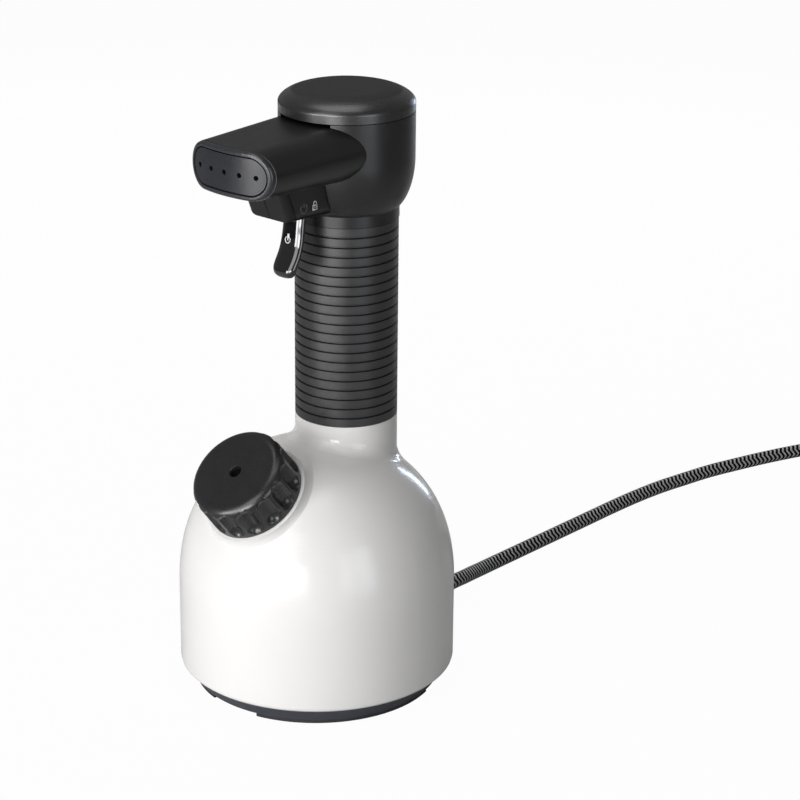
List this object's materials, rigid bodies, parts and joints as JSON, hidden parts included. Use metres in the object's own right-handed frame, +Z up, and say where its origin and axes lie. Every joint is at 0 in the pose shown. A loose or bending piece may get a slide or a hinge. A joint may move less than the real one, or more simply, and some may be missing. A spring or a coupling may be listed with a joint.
{
  "type": "garment steamer",
  "caption": "Handheld garment steamer: white domed boiler body, black ribbed grip, round head with a flat steam nozzle, trigger, side button, screw filler cap and a coiled mains cord",
  "frame": {"origin": "On the vertical axis of the round body, in the plane of the three feet that it stands on", "axes": "+Z is up, -Y is the way the nozzle and the filler cap point, +X is the side with the push button, and the power cord leaves at +Y"},
  "size_m": [0.2085, 0.5156, 0.2715],
  "materials": {
    "white_shell": "high gloss moulded white",
    "slate_base": "satin dark slate",
    "foot_rubber": "matte",
    "screw_steel": "zinc plated",
    "boiler_steel": "drawn sheet",
    "insulation": "pressed fibre felt",
    "cast_aluminium": "as cast",
    "heater_steel": "heat tinted",
    "switch_plastic": "moulded",
    "ceramic": "moulded ivory",
    "brass_parts": "turned",
    "seal_rubber": "matte red silicone",
    "cap_plastic": "fine satin",
    "spring_steel": "bright wire",
    "coil_plastic": "potted winding",
    "tube_steel": "drawn tube",
    "satin_black": "satin moulded",
    "grip_rubber": "matte soft touch",
    "lid_plastic": "fine matte",
    "rim_plastic": "satin, slightly lighter",
    "plate_plastic": "satin",
    "gloss_black": "very high gloss",
    "plunger_plastic": "moulded",
    "board_green": "lacquered",
    "lead_rubber": "matte",
    "relief_rubber": "matte",
    "braid": "woven black and pale grey herringbone",
    "tie_rubber": "matte",
    "plug_rubber": "satin moulded",
    "blade_brass": "nickel plated"
  },
  "bodies": {
    "housing": {"body_shell": "white_shell", "base": "slate_base", "feet": "foot_rubber", "base_screws": "screw_steel", "boiler_lower": "boiler_steel", "boiler_upper": "boiler_steel", "carrier_ring": "boiler_steel", "boiler_screws": "screw_steel", "insulation_jacket": "insulation", "heater_plate": "cast_aluminium", "heating_tube": "heater_steel", "thermostat": "switch_plastic", "thermal_fuse": "ceramic", "filler_neck": "brass_parts", "filler_gasket": "seal_rubber", "valve_body": "brass_parts", "valve_coil": "coil_plastic", "steam_tube": "tube_steel", "handle_tube": "satin_black", "grip_sleeve": "grip_rubber", "head_shell": "satin_black", "head_lid": "lid_plastic", "nozzle_shell": "satin_black", "nozzle_rim": "rim_plastic", "steam_plate": "plate_plastic", "distributor": "brass_parts", "pod_housing": "satin_black", "button_pin": "spring_steel", "button_switch": "switch_plastic", "trigger_pin": "spring_steel", "microswitch": "switch_plastic", "control_board": "board_green", "signal_cable": "lead_rubber", "terminal_block": "ceramic", "cord_clamp": "ceramic", "inner_lead": "lead_rubber", "strain_relief": "relief_rubber", "power_cord": "braid", "cord_coil": "braid", "cord_tie": "tie_rubber", "mains_plug": "plug_rubber", "plug_blades": "blade_brass"},
    "cap_lift": {"cap_plug": "cap_plastic", "plug_seal": "seal_rubber", "cap_spring": "spring_steel"},
    "cap_turn": {"cap_knob": "cap_plastic"},
    "trigger": {"trigger": "gloss_black", "trigger_spring": "spring_steel"},
    "plunger": {"switch_plunger": "plunger_plastic"},
    "side_button": {"side_button": "satin_black"}
  },
  "joints": [
    {"name": "cap_rise", "type": "slide", "parent": "housing", "child": "cap_lift", "axis": [0, -0.6455, 0.7638], "range_m": [0, 0.009]},
    {"name": "cap_unscrew", "type": "hinge", "parent": "cap_lift", "child": "cap_turn", "pos_m": [0, -0.0396, 0.09893], "axis": [0, -0.6455, 0.7638], "range_deg": [0, 1080.1]},
    {"name": "trigger_pull", "type": "hinge", "parent": "housing", "child": "trigger", "pos_m": [0, -0.0146, 0.2269], "axis": [1, 0, 0], "range_deg": [0, 8], "stiffness_Nm_per_rad": 0.3},
    {"name": "plunger_press", "type": "slide", "parent": "housing", "child": "plunger", "axis": [0, 0, 1], "range_m": [0, 0.000907]},
    {"name": "button_press", "type": "hinge", "parent": "housing", "child": "side_button", "pos_m": [0.0098, -0.0216, 0.2276], "axis": [0, 0, 1], "range_deg": [0, 1.5], "stiffness_Nm_per_rad": 0.05}
  ],
  "couplings": [
    {"joint": "cap_unscrew", "follows": "cap_rise", "rad_per_m": 2094.4},
    {"joint": "trigger_pull", "follows": "plunger_press", "rad_per_m": 153.85}
  ]
}
